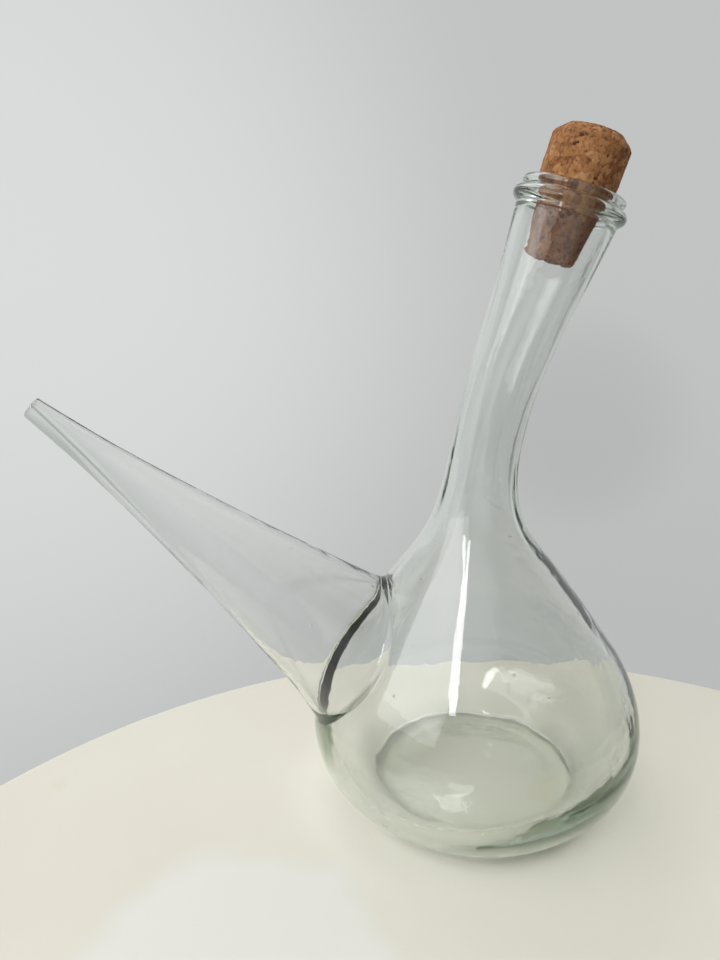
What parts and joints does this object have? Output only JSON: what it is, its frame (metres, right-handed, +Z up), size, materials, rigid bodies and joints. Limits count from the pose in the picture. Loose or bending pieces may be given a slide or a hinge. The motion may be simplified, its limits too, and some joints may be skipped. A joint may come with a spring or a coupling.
{
  "type": "spouted glass wine pitcher",
  "caption": "Pear-shaped clear glass pitcher with a bent flared neck, a long tapering drinking spout welded to its shoulder and a tapered cork stopper.",
  "frame": {"origin": "on the table plane, under the middle of the whole pitcher's length and width, spout included; the bulb's own axis stands at x = +0.0532 m", "axes": "+Z up; the spout points along -X and rises; the neck leans towards +X; y = 0 is the plane of symmetry"},
  "size_m": [0.2466, 0.1402, 0.2764],
  "materials": {
    "bottle_glass": "clear, faint green, slightly wavy",
    "heel_glass": "clear, thick, green at the edges",
    "spout_glass": "clear, thin, nearly colourless",
    "cork": "matt agglomerated cork granules with dark pits"
  },
  "bodies": {
    "pitcher": {"base": "heel_glass", "bulb": "bottle_glass", "neck": "bottle_glass", "mouth_collar": "bottle_glass", "mouth_lip": "bottle_glass", "spout": "spout_glass", "spout_weld": "heel_glass"},
    "stopper": {"cork_stopper": "cork"}
  },
  "joints": [
    {"name": "stopper_pull", "type": "slide", "parent": "pitcher", "child": "stopper", "axis": [0.3123, 0, 0.95], "range_m": [0, 0.045]}
  ]
}
